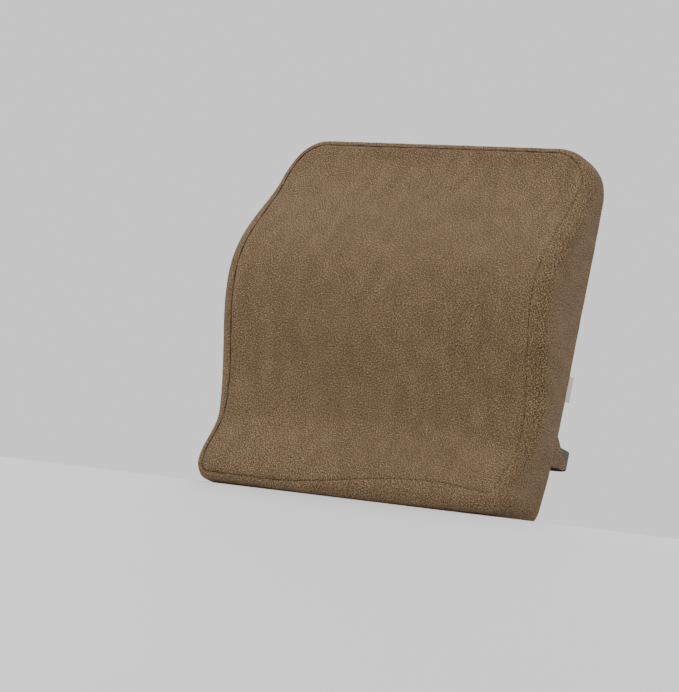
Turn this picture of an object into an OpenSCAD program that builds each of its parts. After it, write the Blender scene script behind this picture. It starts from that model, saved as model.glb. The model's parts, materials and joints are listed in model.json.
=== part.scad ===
// Contoured back cushion for a chair: a foam core in a liner, a sewn zip-off cover
// and a strap with a side-release buckle that goes round the chair's back.
// +Z is up, the sitter's side faces -Y, and the flat back faces +Y.
// The origin is the middle of the flat foot.

/* [Cushion] */
// Width across the side panels
body_w = 410; // [340:5:500]
// Height of the flat back
body_h = 425; // [350:5:510]
// Thickness at the foot
foot_t = 92; // [80:1:115]
// Thickness at the hollow above the foot
waist_t = 64; // [55:1:78]
// Height of the hollow
waist_z = 86; // [76:1:110]
// Thickness at the lumbar bulge
lumbar_t = 102; // [85:1:120]
// Height of the lumbar bulge
lumbar_z = 246; // [200:1:280]
// Thickness just below the top edge
brow_t = 36; // [34:1:60]
// Radius of the two top corners, seen from the front
top_corner_r = 52; // [40:1:80]
// Radius of the two foot corners, seen from the front
foot_corner_r = 20; // [14:1:30]
// Rounding along the front of the foot
toe_r = 14; // [10:1:24]
// Rounding along the front of the top edge
brow_r = 17; // [10:1:22]
// Rounding along the back edges at the top and the foot
heel_r = 7; // [6.5:0.5:10]

/* [Cover] */
// Thickness of the cover's cloth
cloth_t = 1.6; // [1:0.1:2.4]
// Space between the cover and the liner
cover_ease = 2.6; // [2.2:0.1:3.4]
// Thickness of the foam's liner
liner_t = 0.8; // [0.4:0.1:1.2]
// Space between the liner and the foam
liner_ease = 0.2; // [0.1:0.1:0.5]
// How far the front seam lies in from the sides and the top
front_seam_in = 9; // [6:1:18]
// Height of the front seam above the foot
front_seam_up = 10; // [8:1:30]
// How far the back seam lies in from the edge
back_seam_in = 4.5; // [4:0.5:8]

/* [Zip] */
// Height of the zip's middle on the back
zip_z = 27; // [22:1:40]
// Distance from the zip's end to the side of the cushion
zip_end_in = 40; // [30:1:80]
// Width of the gap in the cloth that shows the coil
zip_gap = 8; // [7:0.5:12]
// Height of one coil row
coil_h = 2.3; // [1.8:0.1:3]
// Thickness of the coil
coil_t = 2.0; // [1.4:0.1:2.2]
// Height of one zip tape
tape_h = 10; // [8:1:14]
// Thickness of the zip tape
tape_t = 0.7; // [0.4:0.1:0.9]
// Length of the slider
slider_len = 11; // [9:0.5:16]
// Width of the slider
slider_w = 8; // [7:0.5:12]
// Length of the pull
pull_len = 28; // [20:1:40]
// Width of the pull
pull_w = 7.2; // [6:0.2:10]
// Radius of the pull's pin
pull_pin_r = 0.8; // [0.6:0.1:1]

/* [Strap] */
// Width of the webbing
strap_w = 20; // [15:1:30]
// Thickness of the webbing
strap_t = 1.6; // [1.2:0.1:2.2]
// Height of the webbing's middle
strap_z = 87; // [56:1:120]
// Depth of the chair back that the strap goes round
loop_gap = 46; // [34:1:70]
// Bend of the webbing at the two sides
strap_bend_r = 20; // [12:1:26]
// Length of the tab along the back seam
tab_seam_len = 37; // [30:1:60]
// Height of the tab's outer edge, below which its top slopes in
tab_tip_h = 9; // [6:1:20]
// Thickness of one layer of the tab
tab_cloth_t = 1.2; // [0.8:0.1:1.8]
// Doubled webbing past the buckle on the adjusting side
tail_len = 84; // [76:1:110]
// Doubled webbing past the buckle on the sewn side
fold_len = 24; // [18:1:40]

/* [Buckle] */
// Length of the socket
socket_len = 40; // [36:1:50]
// Thickness of the buckle
buckle_t = 9; // [8:0.5:12]
// Wall beside the webbing and round the socket
buckle_wall = 3.2; // [2.4:0.1:4]
// Running clearance between plug and socket
buckle_clear = 0.4; // [0.2:0.1:0.6]
// Radius of the bars that the webbing turns round
bar_r = 1.1; // [0.9:0.1:1.4]
// Length of the plug's base, between its prongs and its bar
plug_base = 6; // [5:0.5:8]
// Length of the adjuster along the webbing
adjuster_len = 16; // [14:1:22]

/* [Label] */
// Height of the care label's middle
label_z = 161; // [130:1:220]
// Length of the label along the seam
label_len = 28; // [20:1:50]
// How far the label stands out
label_out = 12; // [8:1:20]

/* [Hidden] */

// Clearance between parts that lie against each other.
fit = 0.3;
// Overlap where two solids of one piece join.
weld = 0.1;
through = 2 * (body_w + body_h);
curve_steps = 16;
corner_steps = 8;
round_steps = 32;

back_y = lumbar_t / 2;
liner_in = cloth_t + cover_ease;
core_in = liner_in + liner_t + liner_ease;
// The boxing and the back panel meet behind this plane, and the front panel ends before it.
split_y = back_y - 2 * liner_in;

// The webbing's two layers, the bar between them and the buckle share these planes.
strap_y = back_y + loop_gap + buckle_t / 2;
layer_gap = 2 * bar_r + strap_t + 2 * fit;
bar_y = strap_y + layer_gap / 2;
tab_reach = (strap_t + tab_cloth_t + fit) / 2;
bend_x = body_w / 2 - back_seam_in + tab_reach + tab_cloth_t / 2;
tab_out = loop_gap + buckle_t / 2 - strap_bend_r - fit;
// How far the webbing stops short of a seam, and a zip tape runs past the coil.
sewn_in = 6;

slot_h = strap_w + 2;
buckle_h = slot_h + 2 * buckle_wall;
buckle_wall_y = 1.5;
bar_end = 4;
window_len = 10;
mouth_len = 8;
socket_mouth_x = socket_len / 5;
socket_bar_x = socket_mouth_x - socket_len + bar_end;
plug_face_x = socket_mouth_x + buckle_clear;
plug_bar_x = plug_face_x + plug_base + 2 * bar_end;
plug_end_x = plug_bar_x + bar_end;
prong_len = socket_len * 5 / 8;
prong_r = 1.9;
adjuster_x = socket_bar_x - tail_len / 2;

zip_len = body_w - 2 * zip_end_in;
coil_y = back_y - cloth_t - tape_t - weld;
slider_t = 1.6;
lug_r = 1.6;
pull_t = 1.2;
pull_eye_h = 4.2;
pin_y = back_y + fit + slider_t + lug_r + fit / 2;
slider_x = zip_len / 2 - slider_len / 2 - 1;

// Thickness of the cushion at a height: three smooth cosine steps.
function ease(a, b, u) = a + (b - a) * (1 - cos(180 * u)) / 2;
function thickness(z) =
    z < waist_z ? ease(foot_t, waist_t, (z - toe_r) / (waist_z - toe_r)) :
    z < lumbar_z ? ease(waist_t, lumbar_t, (z - waist_z) / (lumbar_z - waist_z)) :
    ease(lumbar_t, brow_t, (z - lumbar_z) / (body_h - brow_r - lumbar_z));

function arc(cx, cy, r, a0, a1) =
    [for (i = [0:corner_steps])
        let (a = a0 + (a1 - a0) * i / corner_steps) [cx + r * cos(a), cy + r * sin(a)]];

function stretch(z0, z1, inset) =
    [for (i = [1:curve_steps])
        let (z = z0 + (z1 - z0) * i / curve_steps) [back_y - thickness(z) + inset, z]];

// Side outline as [y, z], pulled in by an inset.
function side_outline(inset) = concat(
    arc(back_y - heel_r, heel_r, heel_r - inset, 0, -90),
    arc(back_y - foot_t + toe_r, toe_r, toe_r - inset, 270, 180),
    stretch(toe_r, waist_z, inset),
    stretch(waist_z, lumbar_z, inset),
    [for (p = stretch(lumbar_z, body_h - brow_r, inset)) if (p[1] < body_h - brow_r) p],
    arc(back_y - brow_t + brow_r, body_h - brow_r, brow_r - inset, 180, 90),
    arc(back_y - heel_r, body_h - heel_r, heel_r - inset, 90, 0));

// Front outline as [x, z], with its own inset at the foot.
function front_outline(inset, foot_inset) =
    let (rt = top_corner_r - inset, rf = max(foot_corner_r - inset, 2), w = body_w / 2 - inset)
    concat(
        arc(w - rf, foot_inset + rf, rf, -90, 0),
        arc(w - rt, body_h - inset - rt, rt, 0, 90),
        arc(-w + rt, body_h - inset - rt, rt, 90, 180),
        arc(-w + rf, foot_inset + rf, rf, 180, 270));

module front_prism(inset, foot_inset) {
    rotate([90, 0, 0])
        linear_extrude(height = through, center = true)
            polygon(front_outline(inset, foot_inset));
}

module cushion_form(inset) {
    intersection() {
        rotate([90, 0, 90])
            linear_extrude(height = body_w, center = true)
                polygon(side_outline(inset));
        front_prism(inset, inset);
    }
}

module cushion_shell(inset, wall) {
    difference() {
        cushion_form(inset);
        cushion_form(inset + wall);
    }
}

// Everything in front of the split, or everything behind it.
module front_side() {
    translate([-through / 2, split_y - through, -through / 2])
        cube(through);
}

module back_side() {
    translate([-through / 2, split_y, -through / 2])
        cube(through);
}

module block(x0, x1, y0, y1, z0, z1) {
    translate([x0, y0, z0])
        cube([x1 - x0, y1 - y0, z1 - z0]);
}

// Flat plate in X and Z with round corners, between two Y planes.
module round_plate(x0, x1, z0, z1, y0, y1, r) {
    block(x0 + r, x1 - r, y0, y1, z0, z1);
    block(x0, x1, y0, y1, z0 + r, z1 - r);
    for (x = [x0 + r, x1 - r], z = [z0 + r, z1 - r])
        translate([x, y1, z])
            rotate([90, 0, 0])
                cylinder(h = y1 - y0, r = r, $fn = round_steps);
}

module foam_core() {
    color("lightyellow")
        cushion_form(core_in);
}

module foam_liner() {
    color("whitesmoke")
        cushion_shell(liner_in, liner_t);
}

module cover_front_panel() {
    color([0.47, 0.37, 0.26])
        intersection() {
            cushion_shell(0, cloth_t);
            front_prism(front_seam_in, front_seam_up);
            front_side();
        }
}

module cover_boxing() {
    color([0.43, 0.34, 0.23])
        difference() {
            cushion_shell(0, cloth_t);
            intersection() {
                front_prism(front_seam_in, front_seam_up);
                front_side();
            }
            intersection() {
                front_prism(back_seam_in, back_seam_in + heel_r);
                back_side();
            }
        }
}

// The back wall between two heights.
module back_wall(z0, z1) {
    intersection() {
        cushion_shell(0, cloth_t);
        front_prism(back_seam_in, back_seam_in + heel_r);
        back_side();
        block(-body_w, body_w, -body_h, body_h, z0, z1);
    }
}

module cover_back_panel() {
    color([0.2, 0.17, 0.14])
        difference() {
            back_wall(zip_z, body_h);
            zip_opening();
        }
}

module cover_back_hem() {
    color([0.2, 0.17, 0.14])
        difference() {
            back_wall(0, zip_z);
            zip_opening();
        }
}

module zip_opening() {
    half = zip_len / 2 + sewn_in;
    block(-half, half, split_y, back_y + 1, zip_z - zip_gap / 2, zip_z + zip_gap / 2);
}

// One tape lies behind the cloth, beside its coil row.
module zip_tape(side) {
    near = zip_z + side * (coil_h + fit / 2);
    far = near + side * tape_h;
    half = zip_len / 2 + sewn_in - fit;
    block(-half, half, coil_y, coil_y + tape_t, min(near, far), max(near, far));
}

module zip_tape_upper() {
    color("dimgray")
        zip_tape(1);
}

module zip_tape_lower() {
    color("dimgray")
        zip_tape(-1);
}

module zip_coil(side) {
    near = zip_z + side * weld / 2;
    far = near + side * coil_h;
    block(-zip_len / 2, zip_len / 2, coil_y, coil_y + coil_t, min(near, far), max(near, far));
}

module zip_coil_upper() {
    color("black")
        zip_coil(1);
}

module zip_coil_lower() {
    color("black")
        zip_coil(-1);
}

module zip_stops() {
    color("gray")
        for (side = [-1, 1])
            translate([side * (zip_len / 2 + coil_h), 0, 0])
                block(-coil_h + weld, coil_h - weld, coil_y, coil_y + coil_t,
                    zip_z - coil_h, zip_z + coil_h);
}

// A plate with two lugs, and the pin between them that the pull turns on.
module zip_slider() {
    plate_y = back_y + fit;
    lug_t = 1;
    lug_z = pull_eye_h / 2 + fit + lug_t / 2;
    color("silver")
        translate([slider_x, 0, zip_z]) {
            round_plate(-slider_len / 2, slider_len / 2, -slider_w / 2, slider_w / 2,
                plate_y, plate_y + slider_t, slider_t);
            for (side = [-1, 1])
                translate([0, 0, side * lug_z]) {
                    block(-lug_r, lug_r, plate_y + slider_t - weld, pin_y, -lug_t / 2, lug_t / 2);
                    round_pin(lug_t, lug_r);
                }
            round_pin(2 * lug_z + lug_t, pull_pin_r);
        }
}

module round_pin(h, r) {
    translate([0, pin_y, 0])
        cylinder(h = h, r = r, center = true, $fn = round_steps);
}

module zip_pull() {
    neck_x = -7;
    hole_r = 1.6;
    front_y = pin_y - pull_t / 2;
    color("silver")
        translate([slider_x, 0, zip_z])
            difference() {
                union() {
                    round_pin(pull_eye_h, lug_r);
                    block(neck_x, 0, front_y, front_y + pull_t, -pull_eye_h / 2, pull_eye_h / 2);
                    round_plate(-pull_len, neck_x + hole_r, -pull_w / 2, pull_w / 2,
                        front_y, front_y + pull_t, hole_r);
                }
                round_pin(through, pull_pin_r + weld);
                translate([pull_w / 2 - pull_len, pin_y + pull_t, 0])
                    rotate([90, 0, 0])
                        cylinder(h = 2 * pull_t, r = hole_r, $fn = round_steps);
            }
}

// A folded label, caught in the back seam by its two ends.
module care_label() {
    layer_t = 0.4;
    x = body_w / 2 - back_seam_in + weld;
    low = label_z - label_len / 2;
    color("white")
        for (layer = [0, 1])
            translate([x + (layer_t + weld) * layer, 0, 0])
                block(0, layer_t, back_y, back_y + label_out, low, low + label_len);
}

// Two layers of the cover's cloth, folded over the end of the webbing.
module anchor_tab() {
    low = strap_z - strap_w / 2;
    tip_low = low - 2;
    seam_low = tip_low - 3;
    tip_y = back_y + tab_out;
    shape = [[back_y, seam_low], [tip_y, tip_low], [tip_y, tip_low + tab_tip_h],
        [back_y, seam_low + tab_seam_len]];
    for (side = [-1, 1])
        translate([bend_x + side * tab_reach, 0, 0])
            rotate([90, 0, 90])
                linear_extrude(height = tab_cloth_t, center = true)
                    polygon(shape);
}

module anchor_tab_right() {
    color([0.43, 0.34, 0.23])
        anchor_tab();
}

module anchor_tab_left() {
    color([0.43, 0.34, 0.23])
        mirror([1, 0, 0])
            anchor_tab();
}

// Flat outline of half the strap: out of the tab, round the bend, along the back,
// round the buckle's bar and back on itself.
module strap_outline(bar_x, doubled) {
    half = strap_t / 2;
    bend_y = strap_y - strap_bend_r;
    translate([bend_x - half, back_y + sewn_in])
        square([strap_t, bend_y - back_y - sewn_in]);
    translate([bend_x - strap_bend_r, bend_y])
        intersection() {
            web_turn(strap_bend_r);
            square(strap_bend_r + strap_t);
        }
    translate([bar_x, strap_y - half])
        square([bend_x - strap_bend_r - bar_x, strap_t]);
    translate([bar_x, bar_y])
        intersection() {
            web_turn(layer_gap / 2);
            translate([-layer_gap, -layer_gap])
                square([layer_gap, 2 * layer_gap]);
        }
    translate([bar_x, bar_y + layer_gap / 2 - half])
        square([doubled, strap_t]);
}

// The webbing turned in a full circle, to be cut to the part that is needed.
module web_turn(r) {
    difference() {
        circle(r = r + strap_t / 2, $fn = 3 * round_steps);
        circle(r = r - strap_t / 2, $fn = 3 * round_steps);
    }
}

module strap_half(bar_x, doubled) {
    translate([0, 0, strap_z - strap_w / 2])
        linear_extrude(height = strap_w)
            strap_outline(bar_x, doubled);
}

module strap_right() {
    color([0.12, 0.12, 0.12])
        strap_half(plug_bar_x, fold_len);
}

module strap_left() {
    color([0.12, 0.12, 0.12])
        mirror([1, 0, 0])
            strap_half(-socket_bar_x, tail_len);
}

// Slides on the doubled webbing: two rails, two outer bars and a bar between the layers.
module strap_adjuster() {
    rail_h = 2.6;
    outer_bar_t = 1.8;
    outer_bar_w = 2.8;
    inner = strap_y - strap_t / 2 - 4 * fit;
    outer = strap_y + layer_gap + strap_t / 2 + fit;
    top = slot_h / 2;
    bar_half = bar_r - fit;
    color([0.1, 0.1, 0.1])
        translate([adjuster_x, 0, strap_z]) {
            for (side = [-1, 1])
                translate([0, 0, side * (top + rail_h / 2)])
                    round_plate(-adjuster_len / 2, adjuster_len / 2, -rail_h / 2, rail_h / 2,
                        inner, outer + outer_bar_t, 1.2);
            for (side = [-1, 1])
                translate([side * (adjuster_len / 2 - outer_bar_w / 2 - weld), 0, 0])
                    block(-outer_bar_w / 2, outer_bar_w / 2, outer, outer + outer_bar_t,
                        -top - weld, top + weld);
            block(-bar_r - fit, bar_r + fit, bar_y - bar_half, bar_y + bar_half,
                -top - weld, top + weld);
        }
}

// The two arms beside the webbing and the bar between them.
module webbing_bar(bar_x, arm_x0, arm_x1) {
    arm_r = 1.4;
    for (side = [-1, 1])
        translate([0, 0, side * (slot_h + buckle_wall) / 2])
            round_plate(arm_x0, arm_x1, -buckle_wall / 2, buckle_wall / 2,
                bar_y - buckle_t / 2 + arm_r, bar_y + buckle_t / 2 - arm_r, arm_r);
    translate([bar_x, bar_y, 0])
        cylinder(h = slot_h + 1, r = bar_r, center = true, $fn = round_steps);
}

// A hollow shell with a mouth for the prongs and a window in each side for their ends.
module buckle_socket() {
    shell_x0 = socket_bar_x + bar_end + 1;
    cavity_y = buckle_t / 2 - buckle_wall_y;
    cavity_z = slot_h / 2;
    window_y = cavity_y - fit;
    window_x1 = socket_mouth_x - mouth_len;
    color([0.1, 0.1, 0.1])
        translate([0, 0, strap_z]) {
            webbing_bar(socket_bar_x, socket_bar_x - bar_end + fit, shell_x0 + 3);
            difference() {
                round_plate(shell_x0, socket_mouth_x, -buckle_h / 2, buckle_h / 2,
                    bar_y - buckle_t / 2, bar_y + buckle_t / 2, 3);
                block(socket_mouth_x - prong_len - 3, socket_mouth_x + 1,
                    bar_y - cavity_y, bar_y + cavity_y, -cavity_z, cavity_z);
                for (side = [-1, 1])
                    translate([0, 0, side * cavity_z])
                        block(window_x1 - window_len, window_x1, bar_y - window_y, bar_y + window_y,
                            -bar_end, bar_end);
            }
        }
}

// Two prongs and a middle guide on a base, with the bar for the webbing behind it.
module buckle_plug() {
    prong_y = buckle_t / 2 - buckle_wall_y - buckle_clear;
    prong_z = slot_h / 2 - buckle_clear - prong_r;
    guide_r = 1.6;
    tip_x = plug_face_x - prong_len;
    root_x = plug_face_x + 2;
    color([0.1, 0.1, 0.1])
        translate([0, 0, strap_z]) {
            webbing_bar(plug_bar_x, plug_face_x + plug_base / 2, plug_end_x);
            round_plate(plug_face_x, plug_face_x + plug_base, -buckle_h / 2, buckle_h / 2,
                bar_y - buckle_t / 2, bar_y + buckle_t / 2, 2);
            for (side = [-1, 1])
                translate([0, 0, side * prong_z])
                    round_plate(tip_x, root_x, -prong_r, prong_r,
                        bar_y - prong_y, bar_y + prong_y, prong_r - weld);
            round_plate(tip_x + bar_end, root_x, -guide_r, guide_r,
                bar_y - guide_r, bar_y + guide_r, guide_r - weld);
        }
}

foam_core();
foam_liner();
cover_front_panel();
cover_boxing();
cover_back_panel();
cover_back_hem();
zip_tape_upper();
zip_tape_lower();
zip_coil_upper();
zip_coil_lower();
zip_stops();
zip_slider();
zip_pull();
care_label();
anchor_tab_right();
anchor_tab_left();
strap_right();
strap_left();
strap_adjuster();
buckle_socket();
buckle_plug();
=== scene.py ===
"""Contoured back cushion: a knit cover over foam, a zip, a label and a buckled strap."""

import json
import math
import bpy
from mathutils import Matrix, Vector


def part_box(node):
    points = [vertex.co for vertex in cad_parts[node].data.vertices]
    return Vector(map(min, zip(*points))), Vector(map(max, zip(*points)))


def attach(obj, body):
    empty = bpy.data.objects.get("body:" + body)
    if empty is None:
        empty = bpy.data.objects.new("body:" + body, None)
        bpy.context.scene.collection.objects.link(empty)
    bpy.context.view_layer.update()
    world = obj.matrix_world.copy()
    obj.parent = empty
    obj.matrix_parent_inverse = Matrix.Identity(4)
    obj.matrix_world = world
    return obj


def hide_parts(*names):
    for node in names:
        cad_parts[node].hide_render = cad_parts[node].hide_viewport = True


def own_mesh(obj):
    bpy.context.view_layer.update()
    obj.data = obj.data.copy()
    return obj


bl_info = {
    "name": "Contoured Back Cushion",
    "version": (1, 0, 0),
    "blender": (4, 5, 0),
    "location": "View3D > Sidebar > Cushion",
    "description": "Dresses the cushion's frame in knit cloth, mesh, webbing, a zip and a buckle",
    "category": "Add Mesh",
}

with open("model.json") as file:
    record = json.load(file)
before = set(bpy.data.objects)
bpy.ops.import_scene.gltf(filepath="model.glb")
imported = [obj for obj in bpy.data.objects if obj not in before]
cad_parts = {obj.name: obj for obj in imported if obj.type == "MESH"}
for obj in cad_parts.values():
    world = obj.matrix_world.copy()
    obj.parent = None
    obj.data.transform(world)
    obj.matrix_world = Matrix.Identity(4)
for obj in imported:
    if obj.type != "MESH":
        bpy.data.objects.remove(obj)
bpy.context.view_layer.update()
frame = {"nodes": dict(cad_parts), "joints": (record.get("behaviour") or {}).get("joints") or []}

import bmesh
import bpy
import numpy as np
from bpy.props import FloatProperty, FloatVectorProperty, PointerProperty
from mathutils import Matrix, Vector

BODY = "cushion"
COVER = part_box("cover_boxing")
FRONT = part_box("cover_front_panel")
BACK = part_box("cover_back_panel")
COIL_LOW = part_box("zip_coil_lower")
COIL_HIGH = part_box("zip_coil_upper")
STRAP_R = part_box("strap_right")
STRAP_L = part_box("strap_left")
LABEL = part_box("care_label")

HALF_W = COVER[1][0]
TOP_Z = COVER[1][2]
BACK_Y = COVER[1][1]
BULGE_T = COVER[1][1] - COVER[0][1]
SEAM_IN = HALF_W - FRONT[1][0]
BACK_SEAM_IN = HALF_W - BACK[1][0]
ZIP_Z = (COIL_LOW[0][2] + COIL_HIGH[1][2]) / 2
ZIP_HALF = COIL_HIGH[1][0]

# The boxing's join lies this far to one side of the foot's middle.
JOIN_X = 0.012
# The foot's front edge hangs ahead of this depth, and the foot rests flat behind it.
HANG_Y = -0.006
# Size of a face of the cage that the cloth simulation swells, and how far the cage starts inside.
CAGE_FACE = 0.006
CAGE_IN = 0.0012
# A tab starts this share of its reach inside the seam. It has leaned out to the webbing, and its
# layers have parted round the webbing, within these shares after that.
TAB_ROOT = 0.12
TAB_LEAN = 1 / 6
TAB_PART = 1 / 8


def length(name, text, default):
    return FloatProperty(
        name=name, description=text, default=default, unit="LENGTH", precision=4
    )


def plain(name, text, default):
    return FloatProperty(name=name, description=text, default=default)


def tint(name, text, default):
    return FloatVectorProperty(
        name=name, description=text, default=default, subtype="COLOR", size=3, min=0, max=1
    )


class CushionForm(bpy.types.PropertyGroup):
    """The contour of the cushion, as a chair cushion's side profile is drawn."""

    foot_t: length("Foot", "Thickness at the foot", 0.092)
    waist_t: length("Hollow", "Thickness at the hollow above the foot", 0.064)
    waist_z: length("Hollow height", "Height of the hollow", 0.086)
    bulge_z: length("Bulge height", "Height of the lumbar bulge", 0.246)
    brow_t: length("Brow", "Thickness just below the top edge", 0.036)
    toe_z: length("Toe height", "Height below which the foot is full", 0.014)
    brow_drop: length("Brow drop", "Depth of the even part at the top", 0.017)
    top_corner: length("Top corner", "Radius of the top corners from the front", 0.052)
    foot_corner: length("Foot corner", "Radius of the foot corners from the front", 0.020)
    edge_r: length("Front edge", "Rounding where the front turns to the sides", 0.0145)
    top_r: length("Top edge", "Rounding where the front turns to the top", 0.009)
    top_seam: length("Top seam", "How far the front seam lies in from the top", 0.0045)
    foot_seam: length("Foot seam", "Height of the front seam above the foot", 0.010)
    belly: length("Belly", "How far the filled sides stand out", 0.0065)
    pinch: plain("Pinch", "Share of its width by which the foot narrows", 0.026)
    sag: length("Sag", "How far the foot's front edge hangs", 0.003)
    heel_r: length("Back edge", "Rounding where the sides turn to the back", 0.007)
    cloth_t: length("Cloth", "Thickness of the cover cloth", 0.0016)
    valley: length("Seam valley", "How deep a seam pulls the cloth in", 0.0014)
    valley_w: length("Valley width", "How wide the pull of a seam is", 0.0020)
    pucker: length("Pucker", "Height of the small gathers beside a seam", 0.00022)
    swell: length("Swell", "The most that the filled cloth may stand out", 0.0052)


class CushionTrim(bpy.types.PropertyGroup):
    """Sizes of the webbing, tabs, stitches, zip teeth and label."""

    web_t: length("Webbing", "Thickness of the webbing", 0.0016)
    web_bend: length("Webbing bend", "Radius of the webbing's bend at each side", 0.020)
    layer_gap: length("Layer gap", "Between the middles of two doubled layers", 0.0044)
    tail_len: length("Tail", "Doubled webbing on the adjusting side", 0.084)
    fold_len: length("Fold", "Doubled webbing on the sewn side", 0.024)
    thread_r: length("Thread", "Radius of the sewing thread", 0.00024)
    stitch_len: length("Stitch", "Length of one stitch", 0.0031)
    stitch_pitch: length("Stitch pitch", "Distance from one stitch to the next", 0.0042)
    tooth_pitch: length("Coil pitch", "Distance from one turn of the coil to the next", 0.0016)
    coil_wire: length("Coil wire", "Radius of the coil's nylon wire", 0.00034)
    tab_tip: length("Tab tip", "Height of the tab's outer edge", 0.009)
    tab_skin: length("Tab layer", "Thickness of one layer of the tab", 0.0012)
    label_fold: length("Label fold", "Distance between the label's two layers", 0.0009)
    soften: length("Softened edge", "Rounding of the moulded parts' edges", 0.0005)


class CushionColours(bpy.types.PropertyGroup):
    """Colours of the cloth, trim and stage."""

    yarn: tint("Yarn", "Main colour of the heathered yarn", (0.175, 0.109, 0.0550))
    yarn_light: tint("Light flecks", "Colour of the light flecks", (0.47, 0.335, 0.190))
    # The dark-fleck colour is also painted as shade in the valleys between the knit's loops.
    yarn_dark_and_shade: tint("Dark flecks", "Colour of the dark flecks", (0.040, 0.0245, 0.0125))
    mesh: tint("Back mesh", "Colour of the back's spacer mesh", (0.040, 0.030, 0.022))
    thread: tint("Thread", "Colour of the sewing thread", (0.30, 0.205, 0.12))
    webbing: tint("Webbing", "Colour of the webbing", (0.018, 0.018, 0.019))
    plastic: tint("Plastic", "Colour of the buckle", (0.016, 0.016, 0.017))
    coil_scuff: tint("Coil scuffs", "Colour of the scuffs on the zip's coil", (0.11, 0.09, 0.07))
    dark_thread: tint("Dark thread", "Colour of the strap's thread", (0.030, 0.030, 0.032))
    metal: tint("Metal", "Colour of the zip's metal", (0.42, 0.39, 0.35))
    label: tint("Label", "Colour of the satin label", (0.66, 0.65, 0.635))
    liner: tint("Liner", "Colour of the foam's liner", (0.78, 0.77, 0.75))
    foam: tint("Foam", "Colour of the foam", (0.86, 0.79, 0.60))
    floor: tint("Floor", "Colour of the floor", (0.82, 0.82, 0.83))


class CushionStage(bpy.types.PropertyGroup):
    """Where the camera stands, seen from the cushion's own upright frame."""

    azimuth: plain("Azimuth", "Degrees round from the front", 33.54)
    elevation: plain("Elevation", "Degrees above the foot", -11.11)
    roll: plain("Lean", "Degrees that the cushion leans in view", 12.09)
    distance: length("Distance", "From the camera to the aim", 2.9248)
    aside: length("Aside", "How far the camera stands to its right", -0.0606)
    above: length("Above", "How far the camera stands above the aim", -0.0197)
    aim_z: length("Aim height", "Height of the aim", 0.2)
    lens: plain("Lens", "Focal length in millimetres", 135.26)
    light: plain("Key light", "Strength of the key light", 36.5)


def form():
    return bpy.context.scene.cushion_form


def trim():
    return bpy.context.scene.cushion_trim


def colours():
    return bpy.context.scene.cushion_colours


# ---------------------------------------------------------------- surfaces


def ease(a, b, share):
    """From a to b along half a cosine wave as share goes from 0 to 1."""
    return a + (b - a) * (1 - np.cos(np.pi * np.clip(share, 0, 1))) / 2


def fade(value, start, end):
    """0 at start and 1 at end, along half a cosine wave."""
    return ease(0.0, 1.0, (value - start) / (end - start))


def bell(share):
    """A bell curve: 1 in the middle, a third one share away from it."""
    return np.exp(-(share**2))


def thickness(z):
    """Thickness at height z: foot, hollow, bulge and brow joined by three cosine steps."""
    f = form()
    lower = f.foot_t + (f.waist_t - f.foot_t) * fade(z, f.toe_z, f.waist_z)
    middle = f.waist_t + (BULGE_T - f.waist_t) * fade(z, f.waist_z, f.bulge_z)
    upper = BULGE_T + (f.brow_t - BULGE_T) * fade(z, f.bulge_z, TOP_Z - f.brow_drop)
    return np.where(z < f.waist_z, lower, np.where(z < f.bulge_z, middle, upper))


def edge_distance(x, z):
    """Distance in from the front outline, a rectangle whose corners are arcs."""
    return edge_frame(x, z)[0]


def edge_frame(x, z):
    """Distance in from the outline, and the outline's normal [x, z] there."""
    f = form()
    sign, x = np.sign(x), np.abs(x)
    gaps = np.stack(np.broadcast_arrays(HALF_W - x, TOP_Z - z, z))
    d, side = gaps.min(0), gaps.argmin(0)
    nx = np.where(side == 0, 1.0, 0.0)
    nz = np.where(side == 1, 1.0, np.where(side == 2, -1.0, 0.0))
    for r, up in ((f.top_corner, 1), (f.foot_corner, -1)):
        dx = np.maximum(x - HALF_W + r, 0)
        dz = np.maximum(z - TOP_Z + r if up > 0 else r - z, 0)
        corner, far = (dx > 0) & (dz > 0), np.maximum(np.hypot(dx, dz), 1e-9)
        d = np.where(corner, r - far, d)
        nx, nz = np.where(corner, dx / far, nx), np.where(corner, up * dz / far, nz)
    return np.maximum(d, 0), nx * np.where(sign == 0, 1, sign), nz


def by_edge(nx, nz, side, top, foot):
    """A value that differs along the sides, the top and the foot, blended in the corners."""
    return side * nx**2 + np.where(nz > 0, top, foot) * nz**2


def rounding(nx, nz):
    f = form()
    return by_edge(nx, nz, f.edge_r, f.top_r, f.edge_r)


def seam_inset(nx, nz):
    f = form()
    return by_edge(nx, nz, SEAM_IN, f.top_seam, f.foot_seam)


def roll_off(d, r):
    """How far a face has dropped at distance d from the edge: a quarter circle of radius r."""
    share = np.clip(1 - d / r, 0, 1)
    return r * (1 - np.sqrt(1 - share**2))





def slide(x, z):
    """Where the front cloth at height z really lies near the foot.

    The foot seam wanders: it lies low on one side, climbs past the join and dips a little at
    the far end. Heights up to the seam stretch to its real height, and heights above it close
    up again by the hollow.
    """
    f = form()
    low, climb, dip = -0.003, 0.017, 0.006
    climb_half, dip_from, dip_to = 0.11, 0.12, 0.20
    lift = low + climb * fade(x, -climb_half, climb_half) - dip * fade(x, dip_from, dip_to)
    seam, top = f.foot_seam, f.waist_z
    below = z * (seam + lift) / seam
    above = seam + lift + (z - seam) * (top - seam - lift) / (top - seam)
    return np.where(z < seam, below, np.where(z < top, above, z))


def front_y(x, z):
    """The front face: the contour, rolled off along the outline."""
    d, nx, nz = edge_frame(x, z)
    return BACK_Y - thickness(z) + roll_off(d, rounding(nx, nz))


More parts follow.
